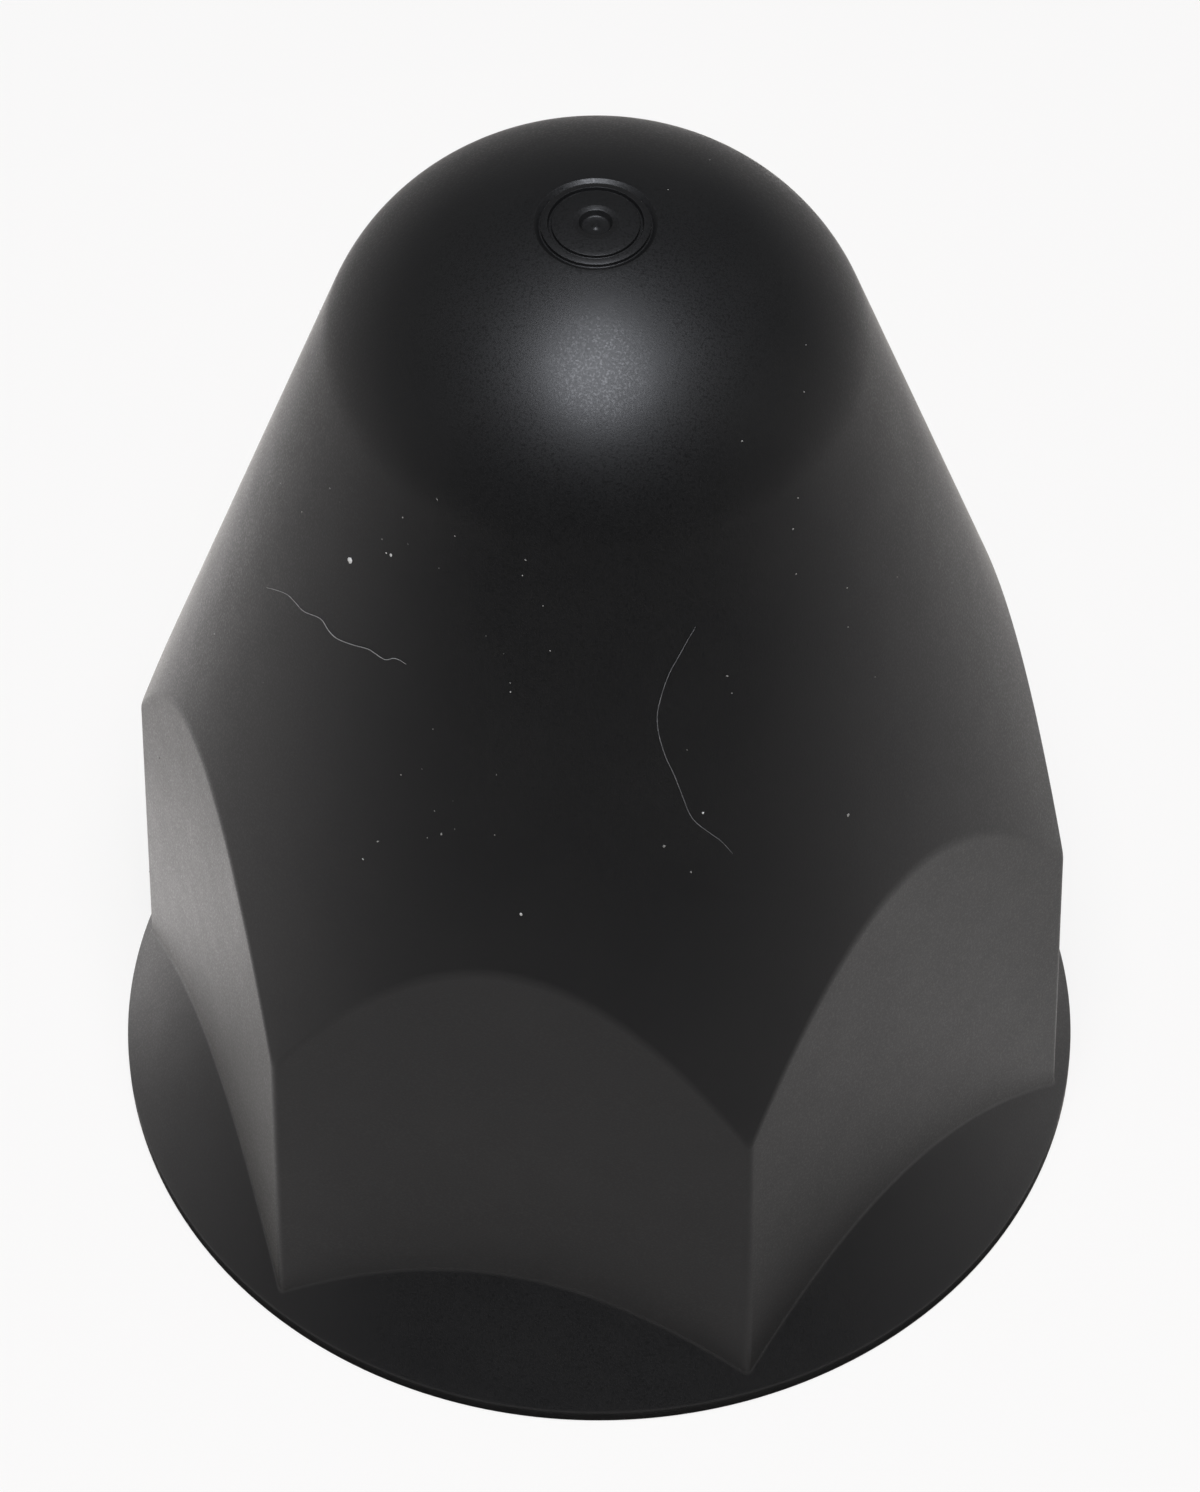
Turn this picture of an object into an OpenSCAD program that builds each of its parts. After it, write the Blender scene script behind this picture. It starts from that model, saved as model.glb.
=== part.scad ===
// Push-on cover cap for a wheel nut, moulded in one piece.
// A bullet-shaped top is cut by six drafted flats and stands on a round sloping flange.
// The origin is the centre of the open mouth, +Z points to the tip, and one flat faces -Y.
// Sizes are in millimetres and angles in degrees.

/* [Overall] */
// Height from the open mouth to the tip
cap_h = 69; // [66:0.5:90]
// Thickness of the moulded wall
wall = 2.2; // [1.6:0.1:3]

/* [Bullet top] */
// Radius of the round tip
tip_r = 18.4; // [16:0.1:20]
// Turn from the axis at which the tip gives way to the tighter shoulder
tip_turn = 25; // [20:1:40]
// Radius of the shoulder between the tip and the cone
shoulder_r = 12.2; // [10.5:0.1:13.5]
// Angle between the cone's side and the axis
cone_angle = 18.2; // [15:0.1:21]

/* [Hexagon] */
// Width across the flats at the mouth
hex_af = 46.7; // [44:0.1:50]
// Lean of each flat towards the axis
hex_draft = 1.25; // [0.5:0.05:3]
// Radius of the six upright edges between the flats
edge_r = 0.5; // [0.3:0.1:1.5]

/* [Flange] */
// How far the flange reaches past the corners of the hexagon
flange_lip = 0.54; // [0.2:0.02:4]
// Height of the flange's upright rim
rim_h = 0.9; // [0.5:0.1:3]
// Slope of the flange's top from the horizontal
flange_slope = 56.5; // [40:0.5:62]
// Radius between the rim and the slope
rim_edge_r = 0.4; // [0.2:0.05:1]
// Radius of the two edges of the flange's underside
foot_edge_r = 0.15; // [0.1:0.05:0.3]

/* [Gate mark] */
// Outer diameter of the ring pressed into the tip
gate_ring_d = 6.2; // [5:0.1:9]
// Width of the ring
gate_ring_w = 0.75; // [0.4:0.05:1.2]
// Depth of the ring at its outer wall
gate_ring_depth = 0.25; // [0.1:0.05:0.5]
// Depth of the ring at its inner edge
gate_step = 0.05; // [0.02:0.01:0.1]
// Diameter of the dimple in the middle of the ring
gate_dimple_d = 1.7; // [1:0.1:2.5]
// Depth of the dimple
gate_dimple_depth = 0.3; // [0.1:0.05:0.5]

/* [Nut grip] */
// Width across the flats of the wheel nut
nut_af = 33; // [30:0.5:36]
// How far each rib reaches past the nut's flat to grip it
grip_squeeze = 0.1; // [0:0.05:0.3]
// Thickness of each rib
rib_t = 1.4; // [1:0.1:2]
// Distance between the two ribs of one flat
rib_gap = 12; // [8:0.5:16]
// Height of the ribs' feet above the mouth, which clears the nut's washer
rib_foot = 5; // [3:0.5:8]
// Size of the lead-in at each rib's foot
rib_lead = 1.6; // [0.8:0.1:2.5]
// Height above the mouth at which the nut's top comes to rest
stop_h = 32; // [24:0.5:36]
// How far each rib's stop stands over the nut
stop_reach = 2.4; // [1:0.1:4]

/* [Hidden] */
$fn = 96;
sides = 6;
side_turn = 360 / sides;
// Turn about the axis that brings the first flat round to -Y
first_turn = -90;
// How far each cutter reaches past what it cuts
over = 1;
// How far faces that touch without a corner are let into each other, so that they cut cleanly
lap = 0.002;
// Turn by which the shoulder's arc starts early, under the end of the tip's arc
shoulder_lead = 5;
tip_centre = [0, cap_h - tip_r];
shoulder_centre = arc_point(tip_centre, tip_r - shoulder_r, tip_turn);
cone_turn = 90 - cone_angle;
hex_apothem = hex_af / 2;
flange_r = hex_apothem / cos(side_turn / 2) + flange_lip;
gate_r = gate_ring_d / 2;
grip_r = nut_af / 2 - grip_squeeze;
stop_r = nut_af / 2 - stop_reach;
// Height at which the flange's slope has passed well inside the flats
slope_top = rim_h + (flange_r - flat_r(2 * wall)) * tan(flange_slope);

// Point of an arc in the radius and height plane, at a turn from the axis
function arc_point(centre, r, turn) = centre + r * [sin(turn), cos(turn)];

// Upper end of the cone, where it leaves the shoulder, moved in by an inset
function cone_top(inset) = arc_point(shoulder_centre, shoulder_r - inset, cone_turn);

// Radius of the cone at a height, moved in by an inset
function cone_r(z, inset) = cone_top(inset).x + (cone_top(inset).y - z) * tan(cone_angle);

// Height of the tip's surface at a distance from the axis
function tip_z(r) = tip_centre.y + sqrt(pow(tip_r, 2) - pow(r, 2));

// Radius of the flange's slope at a height, moved in by an inset
function slope_r(z, inset) = flange_r - (z - rim_h + inset / cos(flange_slope)) / tan(flange_slope);

// Distance of a flat from the axis at the mouth, moved in by an inset
function flat_r(inset) = hex_apothem - inset / cos(hex_draft);

// Half outline of the tip, shoulder and cone, moved in by an inset
module bullet_outline(inset) {
    top = cap_h + tip_r;
    tip_ray = arc_point(tip_centre, 2 * tip_r, tip_turn);
    shoulder_ray = arc_point(tip_centre, 2 * tip_r, tip_turn - shoulder_lead);
    intersection() {
        translate(tip_centre) circle(r = tip_r - inset);
        polygon([tip_centre, tip_ray, [tip_ray.x, top], [0, top]]);
    }
    intersection() {
        translate(shoulder_centre) circle(r = shoulder_r - inset + lap);
        polygon([tip_centre, shoulder_ray, [top, shoulder_ray.y], [top, 0], [0, 0]]);
    }
    polygon([[0, -over], [cone_r(-over, inset), -over], cone_top(inset), tip_centre]);
}

// Everything outside one drafted flat
module flat_cutter(inset) {
    translate([flat_r(inset), 0, 0])
        rotate([0, -hex_draft, 0])
            translate([0, -cap_h, -cap_h])
                cube([cap_h, 2 * cap_h, 3 * cap_h]);
}

// What a corner at the origin loses when it is rounded off
// The corner points to +X, and its sides' normals turn away from +X by half, one to each side
module corner_waste(r, half) {
    centre_x = -r / cos(half);
    touch = [centre_x + r * cos(half), r * sin(half)];
    beyond = touch + over * [cos(half), sin(half)];
    difference() {
        polygon([touch, beyond, [2 * over, 0], [beyond.x, -beyond.y], [touch.x, -touch.y]]);
        translate([centre_x + lap, 0]) circle(r = r);
    }
}

// What lies outside the rounded edge where two flats meet
module edge_cutter(inset) {
    lean = atan(tan(hex_draft) / cos(side_turn / 2));
    half = atan2(
        cos(hex_draft) * sin(side_turn / 2),
        cos(hex_draft) * cos(side_turn / 2) * cos(lean) + sin(hex_draft) * sin(lean)
    );
    translate([flat_r(inset) / cos(side_turn / 2), 0, 0])
        rotate([0, -lean, 0])
            translate([0, 0, -cap_h])
                linear_extrude(3 * cap_h)
                    corner_waste(edge_r, half);
}

// Bullet with its six flats and rounded edges, moved in by an inset
module bullet(inset) {
    difference() {
        rotate_extrude() bullet_outline(inset);
        for (i = [0 : sides - 1]) {
            rotate(first_turn + i * side_turn) flat_cutter(inset);
            rotate(first_turn + (i + 0.5) * side_turn) edge_cutter(inset);
        }
    }
}

// Round flange with its upright rim, sloping up into the flats
module flange() {
    half = (90 - flange_slope) / 2;
    rotate_extrude()
        difference() {
            polygon([[0, 0], [flange_r, 0], [flange_r, rim_h], [slope_r(slope_top, 0), slope_top], [0, slope_top]]);
            translate([flange_r, rim_h]) rotate(half) corner_waste(rim_edge_r, half);
            translate([flange_r, 0]) rotate(-45) corner_waste(foot_edge_r, 45);
        }
}

// Hollow under the flange's slope, open at the mouth and rounded at its edge
module mouth_recess() {
    half = flange_slope / 2;
    rotate_extrude() {
        polygon([[0, -over], [slope_r(-over, wall), -over], [slope_r(slope_top, wall), slope_top], [0, slope_top]]);
        translate([slope_r(0, wall), 0]) rotate(half - 90 - flange_slope) corner_waste(foot_edge_r, half);
    }
}

// Grip rib in the plane x = radius, with the nut's stop, up to the roof of the cap
module rib() {
    rotate([90, 0, 0])
        linear_extrude(rib_t, center = true)
            polygon([
                [hex_apothem, rib_foot],
                [grip_r + rib_lead, rib_foot],
                [grip_r, rib_foot + rib_lead],
                [grip_r, stop_h],
                [stop_r, stop_h],
                [stop_r, cap_h],
                [hex_apothem, cap_h]
            ]);
}

// Ring and dimple that the moulding gate leaves on the tip
module gate_mark() {
    inner_r = gate_r - gate_ring_w;
    rotate_extrude()
        polygon([
            [gate_r, tip_z(gate_r) - gate_ring_depth],
            [gate_r, cap_h + over],
            [inner_r, cap_h + over],
            [inner_r, tip_z(inner_r) - gate_step]
        ]);
    dimple_r = (pow(gate_dimple_d / 2, 2) + pow(gate_dimple_depth, 2)) / (2 * gate_dimple_depth);
    translate([0, 0, cap_h - gate_dimple_depth + dimple_r]) sphere(r = dimple_r);
}

// Hollow bullet on its flange, with one wall thickness all over
module shell() {
    difference() {
        union() {
            intersection() {
                bullet(0);
                cylinder(h = cap_h, r = cap_h);
            }
            flange();
        }
        bullet(wall);
        mouth_recess();
        gate_mark();
    }
}

// Two grip ribs behind each flat, rooted halfway into the wall
module ribs() {
    intersection() {
        bullet(wall / 2);
        for (i = [0 : sides - 1], side = [-1, 1])
            rotate(first_turn + i * side_turn)
                translate([0, side * rib_gap / 2, 0])
                    rib();
    }
}

module cap() {
    color([0.06, 0.06, 0.065]) {
        shell();
        ribs();
    }
}

cap();
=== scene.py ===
import math
import random

import bmesh
import bpy
import numpy as np
from mathutils import Matrix, Vector
from mathutils.bvhtree import BVHTree


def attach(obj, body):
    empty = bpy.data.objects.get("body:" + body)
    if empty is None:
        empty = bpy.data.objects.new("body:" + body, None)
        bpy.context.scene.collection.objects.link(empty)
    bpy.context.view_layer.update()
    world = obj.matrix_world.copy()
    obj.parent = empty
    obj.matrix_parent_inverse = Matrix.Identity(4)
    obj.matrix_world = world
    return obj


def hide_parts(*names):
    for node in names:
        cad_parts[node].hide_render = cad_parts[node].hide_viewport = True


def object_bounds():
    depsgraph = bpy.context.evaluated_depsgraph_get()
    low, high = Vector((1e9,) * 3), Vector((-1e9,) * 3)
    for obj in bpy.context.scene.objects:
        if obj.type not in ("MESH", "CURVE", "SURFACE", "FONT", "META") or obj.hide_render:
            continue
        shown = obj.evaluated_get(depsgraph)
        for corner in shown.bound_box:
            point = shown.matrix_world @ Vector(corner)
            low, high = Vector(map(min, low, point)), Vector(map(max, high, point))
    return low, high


# A push-on cover cap for a wheel nut: one black moulding, with the lint and dust that lie on it
# Everything is in metres, in the frame of the CAD model: +Z to the tip, one flat facing -Y

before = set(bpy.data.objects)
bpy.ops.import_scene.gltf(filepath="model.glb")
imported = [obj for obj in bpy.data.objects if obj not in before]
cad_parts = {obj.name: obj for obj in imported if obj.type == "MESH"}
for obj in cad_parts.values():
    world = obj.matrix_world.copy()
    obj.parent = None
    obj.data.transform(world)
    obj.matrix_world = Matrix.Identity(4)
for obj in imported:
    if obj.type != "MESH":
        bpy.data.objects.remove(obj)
cad_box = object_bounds()

MM = 0.001
DEG = math.pi / 180
BLACK = (0, 0, 0)
WHITE = (1, 1, 1)

# Forms of the moulding, as in the CAD model
SIDES = 6
WALL = 2.2 * MM
CAP_H = 69 * MM
TIP_R = 18.4 * MM
TIP_TURN = 25 * DEG
SHOULDER_R = 12.2 * MM
CONE_ANGLE = 18.2 * DEG
HEX_APOTHEM = 46.7 / 2 * MM
HEX_DRAFT = 1.25 * DEG
HEX_EDGE_R = 0.5 * MM
FLANGE_SLOPE = 56.5 * DEG
RIM_H = 0.9 * MM
RIM_EDGE_R = 0.4 * MM
FOOT_EDGE_R = 0.15 * MM
NUT_APOTHEM = 33 / 2 * MM
GRIP_SQUEEZE = 0.1 * MM
RIB_T = 1.4 * MM
RIB_OFFSET = 12 / 2 * MM
RIB_FOOT = 5 * MM
RIB_LEAD = 1.6 * MM
STOP_H = 32 * MM
STOP_REACH = 2.4 * MM

# The flange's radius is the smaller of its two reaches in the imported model, whose faces are flat
FLANGE_R = min(cad_box[1].x, cad_box[1].y)
SECTOR = 2 * math.pi / SIDES
FIRST_FLAT = -90 * DEG

# Corners of the gate mark in millimetres: distance from the axis, depth below the dome, and rounding
# They run from the dome over the ring's groove, its land, a fine inner groove and the disc into the dimple
GATE_CORNERS = [(3.4, 0, 0), (3.15, 0, 0.05), (2.93, 0.24, 0.06), (2.84, 0.24, 0.03), (2.81, 0.045, 0.02),
                (2.46, 0.022, 0.02), (2.43, 0.24, 0.03), (2.29, 0.24, 0.03), (2.25, 0.072, 0.02),
                (2.0, 0.071, 0), (1.6, 0.07, 0), (1.15, 0.075, 0.3), (0.87, 0.16, 0.03), (0.74, 0.47, 0.12),
                (0.45, 0.5, 0), (0.24, 0.5, 0.05), (0.1, 0.44, 0.05), (0.02, 0.435, 0)]
GATE_STEPS = 3

# Roundings that only the visible moulding has
ARCH_R = 3 * MM
SLOPE_FOOT_R = 0.7 * MM
INNER_R = 0.8 * MM
RIB_BEVEL = 0.2 * MM
RIB_BEVEL_STEPS = 2
ROUND_PROFILE = 0.5

# Steps of the mesh along a meridian, on the outer and the inner side of the wall
OUTER_STEPS = {"underside": 4, "foot": 4, "rim_side": 3, "rim": 6, "slope": 12, "slope_foot": 8,
               "flat": 18, "arch": 6, "cone": 22, "shoulder": 30, "tip": 14}
INNER_STEPS = {"foot": 4, "slope": 5, "slope_foot": 3, "flat": 10, "arch": 3, "cone": 10,
               "shoulder": 14, "tip": 7}

# Turn from the axis at which the roof's inner arc gives way to its middle point
ROOF_END_TURN = 2 * DEG

# Turns of the meridians from each corner of the hexagon, in degrees, close together at the rounded edge
NEAR_CORNER = [0, 0.2, 0.4, 0.56, 0.8, 1.2, 1.8, 2.7, 4]
SPREAD_STEPS = 17

# Steps of a rib's root along the wall, and the step by which its top is looked for
RIB_ROOT_STEPS = 14
RIB_TOP_STEP = 0.25 * MM

# Edges that turn by more than this stay sharp, and large faces count for more in the normals
SHARP_TURN = 35 * DEG
NORMAL_WEIGHT = 80


def plane_point(r, z):
    """Point in the radius and height plane."""
    return np.array([r, z])


def arc_point(centre, r, turn):
    """Point of an arc in the radius and height plane, at a turn from the axis."""
    return centre + r * plane_point(math.sin(turn), math.cos(turn))


TIP_CENTRE = plane_point(0, CAP_H - TIP_R)
SHOULDER_CENTRE = arc_point(TIP_CENTRE, TIP_R - SHOULDER_R, TIP_TURN)
CONE_TURN = math.pi / 2 - CONE_ANGLE


def cone_r(z, inset):
    """Radius of the cone at a height, moved in by an inset."""
    top = arc_point(SHOULDER_CENTRE, SHOULDER_R - inset, CONE_TURN)
    return top[0] + (top[1] - z) * math.tan(CONE_ANGLE)


def slope_r(z, inset):
    """Radius of the flange's slope at a height, moved in by an inset."""
    return FLANGE_R - (z - RIM_H + inset / math.cos(FLANGE_SLOPE)) / math.tan(FLANGE_SLOPE)


def hexagon_r(turn, z, inset):
    """Distance of the drafted, round-edged hexagon from the axis, at a turn from the nearest corner."""
    apothem = HEX_APOTHEM - inset / math.cos(HEX_DRAFT) - z * math.tan(HEX_DRAFT)
    half = SECTOR / 2
    edge_centre = (apothem - HEX_EDGE_R) / math.cos(half)
    reach = math.atan2(HEX_EDGE_R * math.sin(half), edge_centre + HEX_EDGE_R * math.cos(half))
    if turn >= reach:
        return apothem / math.cos(half - turn)
    return edge_centre * math.cos(turn) + math.sqrt(HEX_EDGE_R ** 2 - (edge_centre * math.sin(turn)) ** 2)


def crossing(radius_a, radius_b):
    """Point at which two straight lines cross, each given as a radius at any height."""
    a0, a1 = radius_a(0), radius_a(CAP_H)
    b0, b1 = radius_b(0), radius_b(CAP_H)
    z = (b0 - a0) / ((a1 - a0) - (b1 - b0)) * CAP_H
    return plane_point(radius_a(z), z)


def rounded(before, corner, after, r, steps):
    """Points of the arc that rounds off a corner between two straight lines."""
    to_before = (before - corner) / np.linalg.norm(before - corner)
    to_after = (after - corner) / np.linalg.norm(after - corner)
    half = math.acos(np.clip(to_before @ to_after, -1, 1)) / 2
    centre = corner + (to_before + to_after) / np.linalg.norm(to_before + to_after) * r / math.sin(half)
    start = corner + to_before * r / math.tan(half)
    end = corner + to_after * r / math.tan(half)
    a, b = start - centre, end - centre
    sweep = math.atan2(a[0] * b[1] - a[1] * b[0], a @ b)
    points = []
    for i in range(steps + 1):
        c, s = math.cos(sweep * i / steps), math.sin(sweep * i / steps)
        points.append(centre + plane_point(a[0] * c - a[1] * s, a[0] * s + a[1] * c))
    return points


def between(start, end, steps):
    """Points along a straight line, both ends left out."""
    return [start + (end - start) * i / steps for i in range(1, steps)]


def bullet_arcs(inset, tip_end, shoulder_steps, tip_steps):
    """Shoulder and tip arcs from the cone's top up to a turn from the axis."""
    points = []
    for i in range(shoulder_steps):
        turn = CONE_TURN + (TIP_TURN - CONE_TURN) * i / shoulder_steps
        points.append(arc_point(SHOULDER_CENTRE, SHOULDER_R - inset, turn))
    for i in range(tip_steps + 1):
        turn = TIP_TURN + (tip_end - TIP_TURN) * i / tip_steps
        points.append(arc_point(TIP_CENTRE, TIP_R - inset, turn))
    return points


def gate_mark():
    """Points of the gate mark in the radius and height plane, from its outer lip to the axis."""
    corners = [plane_point(r, depth) * MM for r, depth, _ in GATE_CORNERS]
    outline = []
    for i in range(1, len(corners) - 1):
        rounding = GATE_CORNERS[i][2] * MM
        if rounding:
            outline += rounded(corners[i - 1], corners[i], corners[i + 1], rounding, GATE_STEPS)
        else:
            outline.append(corners[i])
    outline.append(corners[-1])
    return [arc_point(TIP_CENTRE, TIP_R - depth, math.asin(r / TIP_R)) for r, depth in outline]


GATE_MARK = gate_mark()
GATE_START = math.asin(GATE_CORNERS[0][0] * MM / TIP_R)


def wall_corners(turn, inset):
    """Corners of one meridian: the slope's top at the flat, the arch at the cone, and the cone's top."""
    def flat(z):
        return hexagon_r(turn, z, inset)

    def slope(z):
        return slope_r(z, inset)

    def cone(z):
        return cone_r(z, inset)

    cone_top = arc_point(SHOULDER_CENTRE, SHOULDER_R - inset, CONE_TURN)
    return crossing(slope, flat), crossing(flat, cone), cone_top


def outer_meridian(turn):
    """Outer outline of one meridian, from the underside's inner edge to the gate mark's middle."""
    steps = OUTER_STEPS
    foot_inner = plane_point(slope_r(0, WALL), 0)
    foot = plane_point(FLANGE_R, 0)
    rim_top = plane_point(FLANGE_R, RIM_H)
    slope_top, arch, cone_top = wall_corners(turn, 0)
    foot_arc = rounded(foot_inner, foot, rim_top, FOOT_EDGE_R, steps["foot"])
    rim_arc = rounded(foot, rim_top, slope_top, RIM_EDGE_R, steps["rim"])
    slope_arc = rounded(rim_top, slope_top, arch, SLOPE_FOOT_R, steps["slope_foot"])
    arch_arc = rounded(slope_top, arch, cone_top, ARCH_R, steps["arch"])
    start = foot_inner + plane_point(FOOT_EDGE_R, 0)
    points = between(start, foot_arc[0], steps["underside"]) + foot_arc
    points += between(foot_arc[-1], rim_arc[0], steps["rim_side"]) + rim_arc
    points += between(rim_arc[-1], slope_arc[0], steps["slope"]) + slope_arc
    points += between(slope_arc[-1], arch_arc[0], steps["flat"]) + arch_arc
    points += between(arch_arc[-1], cone_top, steps["cone"])
    return points + bullet_arcs(0, GATE_START, steps["shoulder"], steps["tip"]) + GATE_MARK


def inner_meridian(turn):
    """Inner outline of one meridian, from the underside's inner edge to the roof's middle."""
    steps = INNER_STEPS
    foot_inner = plane_point(slope_r(0, WALL), 0)
    slope_top, arch, cone_top = wall_corners(turn, WALL)
    foot_arc = rounded(plane_point(FLANGE_R, 0), foot_inner, slope_top, FOOT_EDGE_R, steps["foot"])
    slope_arc = rounded(foot_inner, slope_top, arch, INNER_R, steps["slope_foot"])
    arch_arc = rounded(slope_top, arch, cone_top, ARCH_R, steps["arch"])
    points = foot_arc + between(foot_arc[-1], slope_arc[0], steps["slope"]) + slope_arc
    points += between(slope_arc[-1], arch_arc[0], steps["flat"]) + arch_arc
    points += between(arch_arc[-1], cone_top, steps["cone"])
    return points + bullet_arcs(WALL, ROOF_END_TURN, steps["shoulder"], steps["tip"])


def meridian_turns():
    """Turn about +Z of each meridian, with its turn from the nearest corner of the hexagon."""
    start = NEAR_CORNER[-1]
    half_sector = SECTOR / 2 / DEG
    spread = [start + (half_sector - start) * i / SPREAD_STEPS for i in range(1, SPREAD_STEPS + 1)]
    one_side = [d * DEG for d in NEAR_CORNER + spread]
    turns = []
    for i in range(SIDES):
        corner = FIRST_FLAT + (i + 0.5) * SECTOR
        turns += [(corner + d, d) for d in one_side]
        turns += [(corner + SECTOR - d, d) for d in reversed(one_side[1:-1])]
    return turns


def add_loft(bm, turns, outline, outward):
    """Grid of quads over all the meridians of one side of the wall, closed at the axis by a fan."""
    columns = []
    for turn, from_corner in turns:
        c, s = math.cos(turn), math.sin(turn)
        columns.append([bm.verts.new((r * c, r * s, z)) for r, z in outline(from_corner)])
    pole_z = sum(column[-1].co.z for column in columns) / len(columns)
    pole = bm.verts.new((0, 0, pole_z))
    for i, column in enumerate(columns):
        after = columns[(i + 1) % len(columns)]
        for j in range(len(column) - 1):
            corners = [column[j], after[j], after[j + 1], column[j + 1]]
            bm.faces.new(corners if outward else corners[::-1])
        corners = [column[-1], after[-1], pole]
        bm.faces.new(corners if outward else corners[::-1])
    return [column[0] for column in columns]


def object_from(bm, name):
    """New object in the scene from a bmesh."""
    mesh = bpy.data.meshes.new(name)
    bm.to_mesh(mesh)
    bm.free()
    made = bpy.data.objects.new(name, mesh)
    bpy.context.scene.collection.objects.link(made)
    return made


def shell_object():
    """The wall of the cap: outer and inner side, joined at the mouth."""
    bm = bmesh.new()
    turns = meridian_turns()
    outer_foot = add_loft(bm, turns, outer_meridian, True)
    inner_foot = add_loft(bm, turns, inner_meridian, False)
    for i in range(len(turns)):
        j = (i + 1) % len(turns)
        bm.faces.new([outer_foot[j], outer_foot[i], inner_foot[i], inner_foot[j]])
    return object_from(bm, "cap_moulding")


def rib_outline():
    """Side view of one grip rib with its stop: distance from the axis and height."""
    grip = NUT_APOTHEM - GRIP_SQUEEZE
    stop = NUT_APOTHEM - STOP_REACH
    root = WALL / 2

    def root_x(z):
        flat = HEX_APOTHEM - root / math.cos(HEX_DRAFT) - z * math.tan(HEX_DRAFT)
        return min(flat, math.sqrt(cone_r(z, root) ** 2 - RIB_OFFSET ** 2))

    top = CAP_H
    while root_x(top) < stop:
        top -= RIB_TOP_STEP
    root_side = [(root_x(z), z) for z in np.linspace(top, RIB_FOOT, RIB_ROOT_STEPS)]
    lead = [(grip + RIB_LEAD, RIB_FOOT), (grip, RIB_FOOT + RIB_LEAD)]
    return root_side + lead + [(grip, STOP_H), (stop, STOP_H)]


def ribs_object():
    """Two ribs behind each flat, all in one mesh."""
    bm = bmesh.new()
    outline = rib_outline()
    for i in range(SIDES):
        spin = Matrix.Rotation(FIRST_FLAT + i * SECTOR, 3, "Z")
        for side in (-1, 1):
            rims = []
            for face in (-1, 1):
                y = side * RIB_OFFSET + face * RIB_T / 2
                rims.append([bm.verts.new(spin @ Vector((x, y, z))) for x, z in outline])
            bm.faces.new(rims[0])
            bm.faces.new(rims[1][::-1])
            for j in range(len(outline)):
                k = (j + 1) % len(outline)
                bm.faces.new([rims[0][k], rims[0][j], rims[1][j], rims[1][k]])
    bmesh.ops.recalc_face_normals(bm, faces=bm.faces)
    bmesh.ops.bevel(bm, geom=bm.edges[:], offset=RIB_BEVEL, segments=RIB_BEVEL_STEPS,
                    profile=ROUND_PROFILE, affect="EDGES", clamp_overlap=True)
    return object_from(bm, "ribs")


def apply_modifiers(made):
    """Puts the result of the modifiers into the mesh."""
    graph = bpy.context.evaluated_depsgraph_get()
    mesh = bpy.data.meshes.new_from_object(made.evaluated_get(graph))
    made.modifiers.clear()
    old = made.data
    made.data = mesh
    bpy.data.meshes.remove(old)


def moulding():
    """The whole moulding: shell and ribs as one closed mesh, smooth over its rounded edges."""
    made = shell_object()
    ribs = ribs_object()
    join = made.modifiers.new("join_ribs", "BOOLEAN")
    join.operation = "UNION"
    join.solver = "MANIFOLD"
    join.object = ribs
    apply_modifiers(made)
    bpy.data.objects.remove(ribs)
    made.data.shade_smooth()
    made.data.set_sharp_from_angle(angle=SHARP_TURN)
    even = made.modifiers.new("even_normals", "WEIGHTED_NORMAL")
    even.weight = NORMAL_WEIGHT
    even.keep_sharp = True
    apply_modifiers(made)
    return made


# The photograph's view, from above and a little round from the flat that faces -Y
PHOTO_W = 1200
PHOTO_H = 1492
FOCAL_PX = 6819.4
SENSOR_W = 36
CLIP_START = 0.01
CLIP_END = 20
CAMERA_DISTANCE = 378.3 * MM
CAMERA_ELEVATION = 51.61 * DEG
CAMERA_TURN = 12.15 * DEG
CAMERA_ROLL = -0.232 * DEG
AIM_HEIGHT = 26.185 * MM
AIM_SIDE = 0.11 * MM


def camera_axes():
    """Camera's place, and the directions to its right, up and ahead."""
    spin = Matrix.Rotation(CAMERA_TURN, 3, "Z")
    c, s = math.cos(CAMERA_ELEVATION), math.sin(CAMERA_ELEVATION)
    place = Vector((AIM_SIDE, -CAMERA_DISTANCE * c, AIM_HEIGHT + CAMERA_DISTANCE * s))
    ahead = Vector((0, c, -s))
    level_right = Vector((1, 0, 0))
    level_up = level_right.cross(ahead)
    right = math.cos(CAMERA_ROLL) * level_right + math.sin(CAMERA_ROLL) * level_up
    up = math.cos(CAMERA_ROLL) * level_up - math.sin(CAMERA_ROLL) * level_right
    return spin @ place, spin @ right, spin @ up, spin @ ahead


def add_camera():
    """Camera at the photograph's viewing angle and framing."""
    place, right, up, ahead = camera_axes()
    data = bpy.data.cameras.new("camera")
    data.sensor_fit = "HORIZONTAL"
    data.sensor_width = SENSOR_W
    data.lens = FOCAL_PX * SENSOR_W / PHOTO_W
    data.clip_start = CLIP_START
    data.clip_end = CLIP_END
    camera = bpy.data.objects.new("camera", data)
    camera.matrix_world = Matrix((
        (right.x, up.x, -ahead.x, place.x),
        (right.y, up.y, -ahead.y, place.y),
        (right.z, up.z, -ahead.z, place.z),
        (0, 0, 0, 1),
    ))
    bpy.context.scene.collection.objects.link(camera)
    bpy.context.scene.camera = camera


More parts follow.
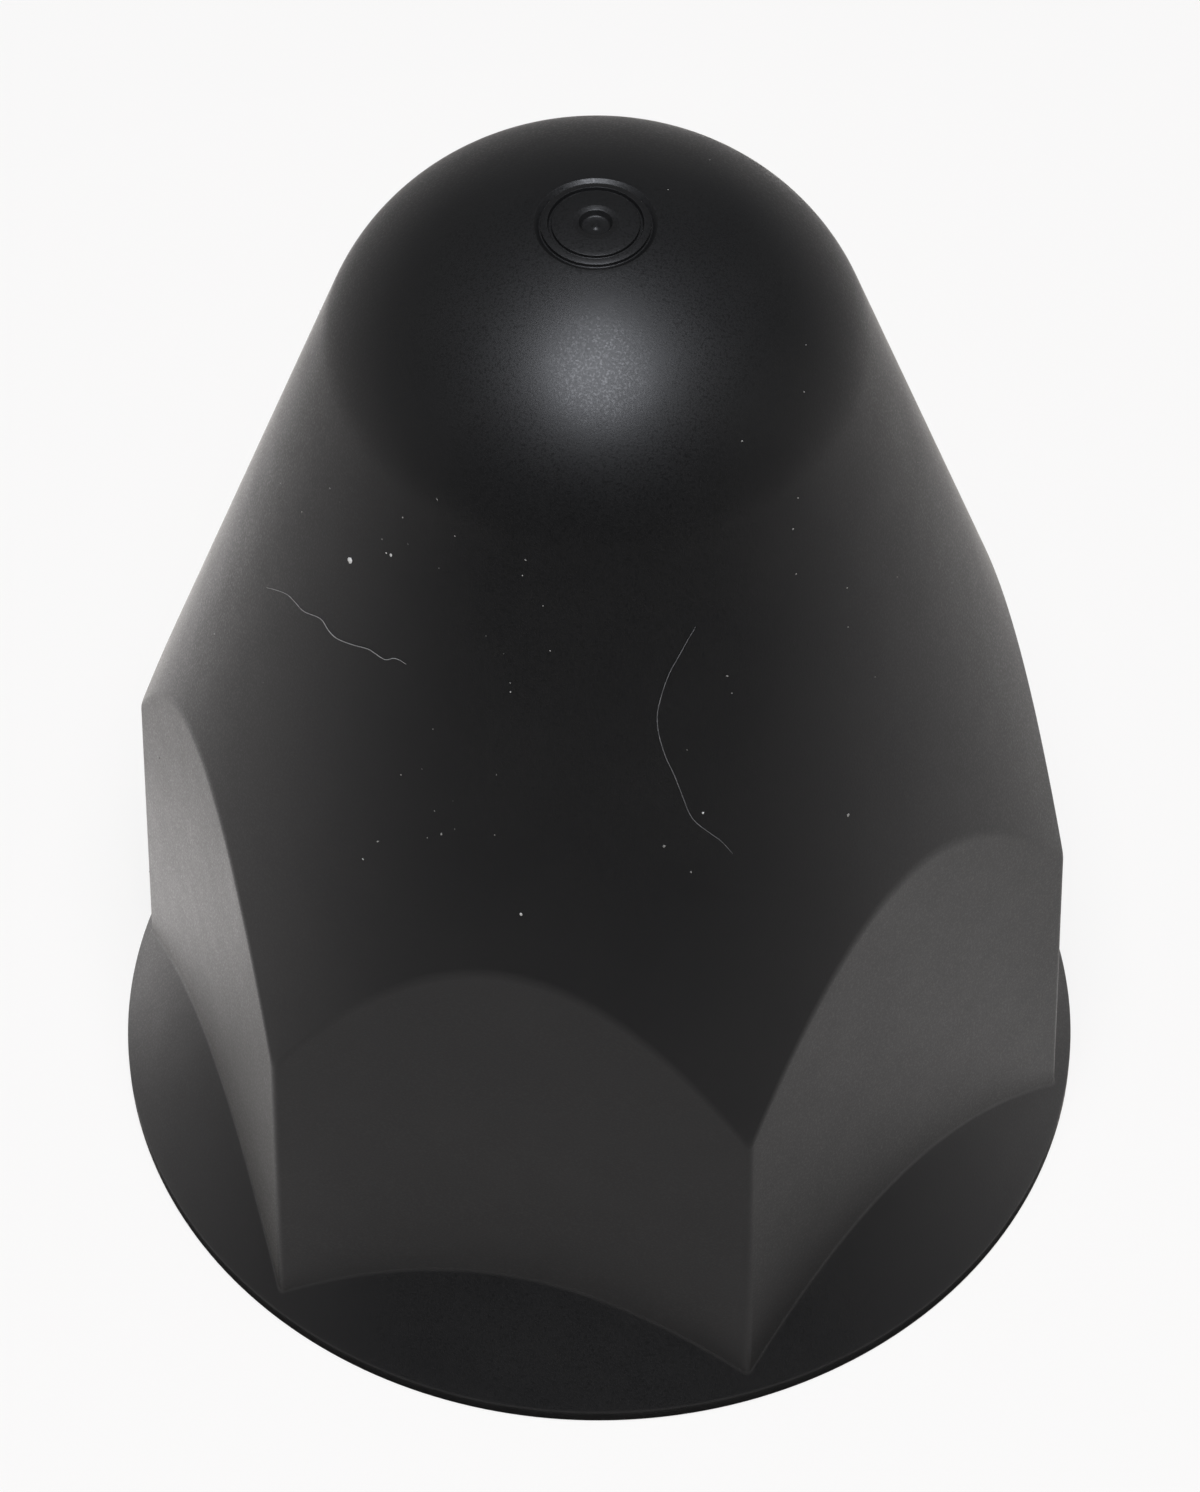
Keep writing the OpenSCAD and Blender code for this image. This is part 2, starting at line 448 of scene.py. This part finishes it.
class Nodes:
    """Short way to build a material's nodes."""

    def __init__(self, name):
        self.material = bpy.data.materials.new(name)
        self.material.use_nodes = True
        self.tree = self.material.node_tree
        self.shader = self.tree.nodes["Principled BSDF"]
        coords = self.tree.nodes.new("ShaderNodeTexCoord")
        self.place = coords.outputs["Object"]

    def link(self, value, socket):
        """Joins a value to a socket of the shader."""
        self.tree.links.new(value, self.shader.inputs[socket])

    def noise(self, scale, detail=2.0, fineness=0.5):
        """Noise with a number of waves to the metre, whose finer waves count by its fineness."""
        node = self.tree.nodes.new("ShaderNodeTexNoise")
        node.inputs["Scale"].default_value = scale
        node.inputs["Detail"].default_value = detail
        node.inputs["Roughness"].default_value = fineness
        self.tree.links.new(self.place, node.inputs["Vector"])
        return node.outputs["Fac"]

    def ramp(self, value, start, end, dark, light):
        """Colour that goes from dark to light between two values."""
        node = self.tree.nodes.new("ShaderNodeValToRGB")
        for element, position, colour in zip(node.color_ramp.elements, (start, end), (dark, light)):
            element.position = position
            element.color = (*colour, 1)
        self.tree.links.new(value, node.inputs["Fac"])
        return node.outputs["Color"]

    def spread(self, value, low, high):
        """A value from 0 to 1, spread over another range."""
        node = self.tree.nodes.new("ShaderNodeMapRange")
        node.inputs["To Min"].default_value = low
        node.inputs["To Max"].default_value = high
        self.tree.links.new(value, node.inputs["Value"])
        return node.outputs["Result"]

    def maths(self, operation, *values):
        """Result of one operation on sockets and plain numbers."""
        node = self.tree.nodes.new("ShaderNodeMath")
        node.operation = operation
        for socket, value in zip(node.inputs, values):
            if isinstance(value, float):
                socket.default_value = value
            else:
                self.tree.links.new(value, socket)
        return node.outputs["Value"]

    def bump(self, height, depth, under=None):
        """Normal of a relief of some depth, laid over the relief under it."""
        node = self.tree.nodes.new("ShaderNodeBump")
        node.inputs["Strength"].default_value = 1
        node.inputs["Distance"].default_value = depth
        self.tree.links.new(height, node.inputs["Height"])
        if under is not None:
            self.tree.links.new(under, node.inputs["Normal"])
        return node.outputs["Normal"]

    def fade_round(self, levels, turns):
        """Level that changes with the turn about Z, away from X to either side."""
        parts = self.tree.nodes.new("ShaderNodeSeparateXYZ")
        self.tree.links.new(self.place, parts.inputs["Vector"])
        side = self.maths("ABSOLUTE", parts.outputs["Y"])
        turn = self.maths("ARCTAN2", side, parts.outputs["X"])
        level = self.tree.nodes.new("ShaderNodeMapRange")
        level.interpolation_type = "SMOOTHSTEP"
        level.inputs["From Min"].default_value, level.inputs["From Max"].default_value = turns
        level.inputs["To Min"].default_value, level.inputs["To Max"].default_value = levels
        self.tree.links.new(turn, level.inputs["Value"])
        return level.outputs["Result"]

    def whiter_to_camera(self, share):
        """Shows the camera a share of plain white in place of the lit surface."""
        path = self.tree.nodes.new("ShaderNodeLightPath")
        amount = self.maths("MULTIPLY", path.outputs["Is Camera Ray"], share)
        white = self.tree.nodes.new("ShaderNodeEmission")
        white.inputs["Color"].default_value = (*WHITE, 1)
        mixed = self.tree.nodes.new("ShaderNodeMixShader")
        self.tree.links.new(amount, mixed.inputs["Fac"])
        self.tree.links.new(self.shader.outputs["BSDF"], mixed.inputs[1])
        self.tree.links.new(white.outputs["Emission"], mixed.inputs[2])
        self.tree.links.new(mixed.outputs["Shader"], self.tree.nodes["Material Output"].inputs["Surface"])


# Black plastic: waves to the metre of each noise, and what the noise changes
CLOUD_DETAIL = 3
COLOUR_NOISE = 90
COLOUR_RANGE = (0.3, 0.7)
PLASTIC_DARK = (0.0065, 0.0065, 0.0068)
PLASTIC_LIGHT = (0.0092, 0.009, 0.0088)
GLOSS_NOISE = 400
ROUGHNESS = (0.4, 0.47)
FLECK_NOISE = 8000
FLECK_RANGE = (0.48, 0.68)
FLECK_CHANGE = (0.005, -0.12)
WAVE_NOISE = 260
WAVE_DEPTH = 0.004 * MM
GRAIN_NOISE = 9000
GRAIN_FINENESS = 0.6
GRAIN_DEPTH = 0.004 * MM
PLASTIC_IOR = 1.45
SHEEN_WEIGHT = 0.28
SHEEN_ROUGHNESS = 0.14
SHEEN_TINT = (1, 0.94, 0.83, 1)


def black_plastic():
    """Satin black moulded plastic with a very fine grain, which sparkles where the lamp shines on it."""
    nodes = Nodes("black_plastic")
    colour_cloud = nodes.noise(COLOUR_NOISE, CLOUD_DETAIL)
    colour = nodes.ramp(colour_cloud, *COLOUR_RANGE, PLASTIC_DARK, PLASTIC_LIGHT)
    nodes.link(colour, "Base Color")
    cloudy_gloss = nodes.spread(nodes.noise(GLOSS_NOISE, CLOUD_DETAIL), *ROUGHNESS)
    flecks = nodes.ramp(nodes.noise(FLECK_NOISE), *FLECK_RANGE, BLACK, WHITE)
    nodes.link(nodes.maths("ADD", cloudy_gloss, nodes.spread(flecks, *FLECK_CHANGE)), "Roughness")
    wave = nodes.bump(nodes.noise(WAVE_NOISE), WAVE_DEPTH)
    grain = nodes.bump(nodes.noise(GRAIN_NOISE, fineness=GRAIN_FINENESS), GRAIN_DEPTH, wave)
    nodes.link(grain, "Normal")
    nodes.shader.inputs["IOR"].default_value = PLASTIC_IOR
    nodes.shader.inputs["Sheen Weight"].default_value = SHEEN_WEIGHT
    nodes.shader.inputs["Sheen Roughness"].default_value = SHEEN_ROUGHNESS
    nodes.shader.inputs["Sheen Tint"].default_value = SHEEN_TINT
    return nodes.material


# Fibres of lint, by the pixels of the photograph at which they lie
LINT_LEFT = [(266.7, 587.7), (276, 590), (287.7, 594.7), (296, 603), (304.5, 611.6), (320.7, 618.6),
             (328.4, 629.8), (336.8, 638.2), (352.2, 644.5), (367.7, 648.7), (374.7, 653), (385.2, 659.5),
             (393, 658.3), (398.6, 659.5), (406.3, 664.2)]
LINT_RIGHT = [(695.7, 626.8), (688, 639.3), (678.2, 657.1), (669.3, 673.2), (662.1, 692.9), (657.7, 710.7),
              (657.3, 723.2), (659.5, 737.5), (665.7, 757.1), (673.8, 774.1), (681.8, 794.6), (688.9, 812.5),
              (696, 822.3), (708.6, 832.1), (721, 841), (732.7, 853.6)]
LEFT_GREYS = ((0.2, 0.2, 0.19), (0.3, 0.3, 0.29))
RIGHT_GREYS = ((0.09, 0.09, 0.09), (0.15, 0.15, 0.15))
FIBRES = {"lint_left": (LINT_LEFT, LEFT_GREYS), "lint_right": (LINT_RIGHT, RIGHT_GREYS)}
LINT_D = 0.05 * MM
LINT_SIDES = 6
LINT_SUBSTEPS = 5

# Share of a fibre's thickness at its ends, and of its radius at which its middle lies above the surface
LINT_END_SHARE = 0.4
LINT_LIFT = 0.9
LINT_NOISE = 3000
LINT_RANGE = (0.35, 0.65)
LINT_ROUGHNESS = 0.7

# Dust specks: pixel across, pixel down, size in millimetres
BRIGHT_SPECKS = [(350.6, 560, 0.34), (391.2, 555, 0.19), (386.3, 553, 0.12), (521, 914, 0.22),
                 (703, 813, 0.14)]
FAINT_SPECKS = [(382, 539, 0.1), (408, 544, 0.1), (437, 499, 0.08), (455, 536, 0.08), (439, 568, 0.08),
                (402.7, 517.5, 0.08), (330, 488.5, 0.1), (302, 512, 0.1), (340, 502, 0.06),
                (525.5, 560, 0.1), (522.5, 575.6, 0.09), (543, 606, 0.06), (550, 650.7, 0.07),
                (510, 683, 0.1), (510.5, 692, 0.08), (503.8, 653.7, 0.07), (486, 636, 0.06),
                (433, 729, 0.07), (401, 774.8, 0.08), (422, 769, 0.06), (434.7, 811, 0.08),
                (441.4, 834, 0.13), (454.7, 829, 0.07), (427.5, 837.7, 0.07), (377.8, 841.4, 0.12),
                (363, 859, 0.1), (496.5, 774.8, 0.06), (494.7, 835, 0.06), (453, 801, 0.06),
                (263.4, 682.8, 0.08), (664, 846, 0.19), (691, 872, 0.13), (727, 676, 0.11),
                (732, 693, 0.07), (687, 750, 0.07), (848, 815, 0.18), (742, 441, 0.12), (793, 529, 0.09),
                (796, 574, 0.09), (847, 588, 0.09), (897, 577, 0.07), (848, 627, 0.06), (875, 677, 0.06),
                (668, 190, 0.09), (710, 160, 0.07), (437.5, 500, 0.07), (806, 345, 0.07),
                (804, 392, 0.07), (798, 498, 0.08)]
PALE_GREYS = ((0.45, 0.44, 0.41), (0.6, 0.59, 0.56))
DUSTY_GREYS = ((0.11, 0.11, 0.1), (0.4, 0.39, 0.36))
DUST_NOISE = 1800
DUST_RANGE = (0.38, 0.62)
DUST_ROUGHNESS = 0.9

# Range of a speck's stretch along, across and away from the surface, and how uneven and how high it is
SPECK_STRETCH = ((0.75, 1.25), (0.6, 1), (0.35, 0.6))
SPECK_LUMP = 0.25
SPECK_LIFT = 0.1

# Stray dust on the sides of the cap that the photograph doesn't show, with its size in millimetres
# It keeps clear of the side that faces the camera, by a turn to its left and right
STRAY_SPECKS = 90
STRAY_SIZE = (0.05, 0.12)
STRAY_HEIGHTS = (3 * MM, 60 * MM)
STRAY_CLEAR_TURN = 75 * DEG
DUST_SEED = 7


def surface_tree(piece):
    """Search tree over a piece's faces."""
    bm = bmesh.new()
    bm.from_mesh(piece.data)
    tree = BVHTree.FromBMesh(bm)
    bm.free()
    return tree


def under_pixel(tree, x, y):
    """Point and normal of the surface seen at a pixel of the photograph."""
    place, right, up, ahead = camera_axes()
    ray = ahead + right * (x - PHOTO_W / 2) / FOCAL_PX - up * (y - PHOTO_H / 2) / FOCAL_PX
    point, normal, _, _ = tree.ray_cast(place, ray.normalized())
    return point, normal


def smooth_path(points, substeps):
    """Catmull-Rom curve through the points."""
    ends = [2 * points[0] - points[1]] + points + [2 * points[-1] - points[-2]]
    path = []
    for i in range(len(points) - 1):
        a, b, c, d = ends[i:i + 4]
        for j in range(substeps):
            t = j / substeps
            path.append(0.5 * (2 * b + (c - a) * t + (2 * a - 5 * b + 4 * c - d) * t ** 2
                               + (3 * b - 3 * c + d - a) * t ** 3))
    return path + [points[-1]]


def lint(name, pixels, tree):
    """A fibre that lies on the surface, thinner at its two ends."""
    flat_path = smooth_path([Vector(p) for p in pixels], LINT_SUBSTEPS)
    seats = [under_pixel(tree, p.x, p.y) for p in flat_path]
    bm = bmesh.new()
    rings = []
    for i, (point, normal) in enumerate(seats):
        along = seats[min(i + 1, len(seats) - 1)][0] - seats[max(i - 1, 0)][0]
        across = along.cross(normal).normalized()
        fullness = math.sin(math.pi * i / (len(seats) - 1)) ** 0.5
        r = LINT_D / 2 * (LINT_END_SHARE + (1 - LINT_END_SHARE) * fullness)
        centre = point + normal * r * LINT_LIFT
        ring = []
        for k in range(LINT_SIDES):
            t = 2 * math.pi * k / LINT_SIDES
            ring.append(bm.verts.new(centre + r * (math.cos(t) * across + math.sin(t) * normal)))
        rings.append(ring)
    for ring, after in zip(rings, rings[1:]):
        for k in range(LINT_SIDES):
            m = (k + 1) % LINT_SIDES
            bm.faces.new([ring[k], ring[m], after[m], after[k]])
    bm.faces.new(rings[0][::-1])
    bm.faces.new(rings[-1])
    bmesh.ops.recalc_face_normals(bm, faces=bm.faces)
    made = object_from(bm, name)
    made.data.shade_smooth()
    return made


def add_speck(bm, point, normal, size, rng):
    """One dust speck: a small uneven lump pressed against the surface."""
    spin = Matrix.Rotation(rng.uniform(0, 2 * math.pi), 3, "Z")
    turn = normal.to_track_quat("Z", "Y").to_matrix() @ spin
    stretch = Vector([rng.uniform(*limits) for limits in SPECK_STRETCH])
    for v in bmesh.ops.create_icosphere(bm, subdivisions=2, radius=size / 2)["verts"]:
        lump = 1 + SPECK_LUMP * rng.uniform(-1, 1)
        v.co = point + turn @ (v.co * stretch) * lump + normal * size * SPECK_LIFT


def dust(name, places, rng):
    """Specks in one piece, each given by a point, the surface's normal and a size in millimetres."""
    bm = bmesh.new()
    for point, normal, size in places:
        add_speck(bm, point, normal, size * MM, rng)
    made = object_from(bm, name)
    made.data.shade_smooth()
    return made


def stray_places(tree, rng):
    """Places for the stray dust."""
    reach = math.pi - STRAY_CLEAR_TURN
    places = []
    for _ in range(STRAY_SPECKS):
        turn = math.pi / 2 + CAMERA_TURN + rng.uniform(-reach, reach)
        outward = Vector((math.cos(turn), math.sin(turn), 0))
        height = Vector((0, 0, rng.uniform(*STRAY_HEIGHTS)))
        point, normal, _, _ = tree.ray_cast(outward * CAP_H + height, -outward)
        places.append((point, normal, rng.uniform(*STRAY_SIZE)))
    return places


def mottled(name, greys, waves, limits, roughness):
    """Dull material that varies between two greys, with a number of waves to the metre."""
    nodes = Nodes(name)
    nodes.link(nodes.ramp(nodes.noise(waves), *limits, *greys), "Base Color")
    nodes.shader.inputs["Roughness"].default_value = roughness
    return nodes.material


def lint_grey(name, greys):
    """Textile fibre."""
    return mottled(name, greys, LINT_NOISE, LINT_RANGE, LINT_ROUGHNESS)


def dust_grey(name, greys):
    """Household dust."""
    return mottled(name, greys, DUST_NOISE, DUST_RANGE, DUST_ROUGHNESS)


# Studio: a wide floor, one soft oval lamp, and surroundings that are darker overhead
FLOOR_SIZE = 6
FLOOR_SQUARES = 24
FLOOR_DROP = 0.02 * MM
FLOOR_COLOUR = (0.85, 0.8, 0.74)
FLOOR_ROUGHNESS = 0.9
FLOOR_GLOSS = 0.2
FLOOR_WHITENING = 0.8
LAMP_W = 0.38
LAMP_H = 0.62
LAMP_DISTANCE = 0.8
LAMP_ELEVATION = 73.5 * DEG
LAMP_TURN = -88 * DEG + CAMERA_TURN
LAMP_POWER = 6.5
LAMP_COLOUR = (0.96, 0.99, 1.07)
HORIZON_LEVEL = 0.32
OVERHEAD_LEVEL = 0.1
OVERHEAD_FROM = 0.35
BACKDROP_LEVEL = 0.95

# Strips round the cap that glow only in its gloss, as painted reflections; where two overlap, one lies a
# little higher
FRONT_TURN = -90 * DEG + CAMERA_TURN
BACK_LEFT_TURN = 128 * DEG
LEFT_TURN = 168 * DEG
CARD_R = 130 * MM
CARD_H = 140 * MM
STRIP_LIFT = 0.02 * MM
UPPER_LIFT = 0.04 * MM
APRON_R = 27.6 * MM
BRIGHT_REFLECTION_R = 78 * MM
FLOOR_LEVEL = 0.85
STRIP_COLOUR = (1, 0.97, 0.965, 1)
STRIP_STEPS = 24

# Start and end are the radius and height of a strip's two edges, levels are those at its middle and its ends,
# and the level changes between the two turns from its middle
STRIPS = {
    # An upright card in front, black in the middle and glowing grey at the sides: a painted reflection that
    # only the cap's gloss shows
    "painted_reflection_card": {"middle_turn": FRONT_TURN, "start": (CARD_R, 0), "end": (CARD_R, CARD_H),
                  "levels": (0, 0.24), "turns": (30 * DEG, 80 * DEG)},
    # Painted reflection of the floor in front, darker in the middle
    "painted_dark_reflection_front": {"middle_turn": FRONT_TURN, "start": (APRON_R, STRIP_LIFT), "end": (CARD_R, STRIP_LIFT),
                   "levels": (0.5, FLOOR_LEVEL), "turns": (25 * DEG, 80 * DEG)},
    # Painted reflection of the floor behind on the left, brighter in the middle
    "painted_bright_reflection_back_left": {"middle_turn": BACK_LEFT_TURN, "start": (APRON_R, STRIP_LIFT), "end": (BRIGHT_REFLECTION_R, STRIP_LIFT),
                   "levels": (1.6, FLOOR_LEVEL), "turns": (15 * DEG, 48 * DEG)},
    # Painted reflection of the floor beside the flange on the left, brighter in the middle
    "painted_bright_reflection_left": {"middle_turn": LEFT_TURN, "start": (28.5 * MM, UPPER_LIFT), "end": (40 * MM, UPPER_LIFT),
                   "levels": (1.6, FLOOR_LEVEL), "turns": (14 * DEG, 34 * DEG)},
    # Painted shadow in the reflection of the floor's edge at the rim, nearly black
    "painted_shadow_reflection_rim": {"middle_turn": FRONT_TURN, "start": (27.52 * MM, UPPER_LIFT),
                  "end": (28.3 * MM, UPPER_LIFT), "levels": (0.04, 0.3), "turns": (60 * DEG, 120 * DEG)},
    # Painted reflection of the floor further out, grey all round
    "painted_grey_reflection_far": {"middle_turn": FRONT_TURN, "start": (CARD_R, STRIP_LIFT), "end": (1.5, STRIP_LIFT),
                  "levels": (0.4, 0.45), "turns": (60 * DEG, 180 * DEG)},
}


def add_floor():
    """Wide plain pale floor."""
    bm = bmesh.new()
    bmesh.ops.create_grid(bm, x_segments=FLOOR_SQUARES, y_segments=FLOOR_SQUARES, size=FLOOR_SIZE / 2)
    floor = object_from(bm, "floor")
    floor.location.z = -FLOOR_DROP
    nodes = Nodes("floor_paper")
    nodes.shader.inputs["Base Color"].default_value = (*FLOOR_COLOUR, 1)
    nodes.shader.inputs["Roughness"].default_value = FLOOR_ROUGHNESS
    nodes.shader.inputs["Specular IOR Level"].default_value = FLOOR_GLOSS
    nodes.whiter_to_camera(FLOOR_WHITENING)
    floor.data.materials.append(nodes.material)


def gloss_strip(name, middle_turn, start, end, levels, turns):
    """Glowing strip round the cap, between two radii and heights, that only the cap's gloss shows: a painted
    reflection.
    """
    bm = bmesh.new()
    columns = []
    for i in range(STRIP_STEPS + 1):
        turn = turns[1] * (2 * i / STRIP_STEPS - 1)
        c, s = math.cos(turn), math.sin(turn)
        columns.append([bm.verts.new((r * c, r * s, z)) for r, z in (start, end)])
    for column, after in zip(columns, columns[1:]):
        bm.faces.new([column[0], after[0], after[1], column[1]])
    strip = object_from(bm, name)
    strip.rotation_euler.z = middle_turn
    strip.visible_camera = False
    strip.visible_diffuse = False
    strip.visible_shadow = False
    nodes = Nodes(name)
    nodes.shader.inputs["Base Color"].default_value = (*BLACK, 1)
    nodes.shader.inputs["Specular IOR Level"].default_value = 0
    nodes.shader.inputs["Emission Color"].default_value = STRIP_COLOUR
    nodes.link(nodes.fade_round(levels, turns), "Emission Strength")
    strip.data.materials.append(nodes.material)


def add_lamp():
    """Soft oval lamp above, that faces the cap."""
    data = bpy.data.lights.new("key_lamp", "AREA")
    data.shape = "ELLIPSE"
    data.size = LAMP_W
    data.size_y = LAMP_H
    data.energy = LAMP_POWER
    data.color = LAMP_COLOUR
    lamp = bpy.data.objects.new("key_lamp", data)
    c, s = math.cos(LAMP_ELEVATION), math.sin(LAMP_ELEVATION)
    towards = Vector((math.cos(LAMP_TURN) * c, math.sin(LAMP_TURN) * c, s))
    lamp.location = Vector((0, 0, AIM_HEIGHT)) + towards * LAMP_DISTANCE
    lamp.rotation_euler = (math.pi / 2 - LAMP_ELEVATION, 0, LAMP_TURN + math.pi / 2)
    bpy.context.scene.collection.objects.link(lamp)


def add_world():
    """Grey surroundings, darker overhead, that the camera sees as white."""
    world = bpy.data.worlds.new("world")
    world.use_nodes = True
    tree = world.node_tree
    background = tree.nodes["Background"]
    coords = tree.nodes.new("ShaderNodeTexCoord")
    parts = tree.nodes.new("ShaderNodeSeparateXYZ")
    level = tree.nodes.new("ShaderNodeMapRange")
    path = tree.nodes.new("ShaderNodeLightPath")
    seen = tree.nodes.new("ShaderNodeMix")
    level.interpolation_type = "SMOOTHSTEP"
    level.inputs["From Max"].default_value = OVERHEAD_FROM
    level.inputs["To Min"].default_value = HORIZON_LEVEL
    level.inputs["To Max"].default_value = OVERHEAD_LEVEL
    seen.inputs["B"].default_value = BACKDROP_LEVEL
    background.inputs["Color"].default_value = (*WHITE, 1)
    tree.links.new(coords.outputs["Generated"], parts.inputs["Vector"])
    tree.links.new(parts.outputs["Z"], level.inputs["Value"])
    tree.links.new(path.outputs["Is Camera Ray"], seen.inputs["Factor"])
    tree.links.new(level.outputs["Result"], seen.inputs["A"])
    tree.links.new(seen.outputs["Result"], background.inputs["Strength"])
    bpy.context.scene.world = world


add_camera()

cap = moulding()
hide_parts("cap")
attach(cap, "root")
cap.data.materials.clear()
cap.data.materials.append(black_plastic())

surface = surface_tree(cap)
for fibre_name, (fibre_route, fibre_greys) in FIBRES.items():
    fibre = lint(fibre_name, fibre_route, surface)
    fibre.data.materials.append(lint_grey(fibre_name + "_grey", fibre_greys))
    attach(fibre, "root")

dust_rng = random.Random(DUST_SEED)
bright_places = [(*under_pixel(surface, x, y), size) for x, y, size in BRIGHT_SPECKS]
faint_places = [(*under_pixel(surface, x, y), size) for x, y, size in FAINT_SPECKS]
faint_places += stray_places(surface, dust_rng)
bright_dust = dust("bright_dust", bright_places, dust_rng)
bright_dust.data.materials.append(dust_grey("dust_pale", PALE_GREYS))
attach(bright_dust, "root")
faint_dust = dust("faint_dust", faint_places, dust_rng)
faint_dust.data.materials.append(dust_grey("dust_grey", DUSTY_GREYS))
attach(faint_dust, "root")

add_floor()
for strip_name, strip in STRIPS.items():
    gloss_strip(strip_name, **strip)
add_lamp()
add_world()
bpy.context.scene.view_settings.view_transform = "Standard"
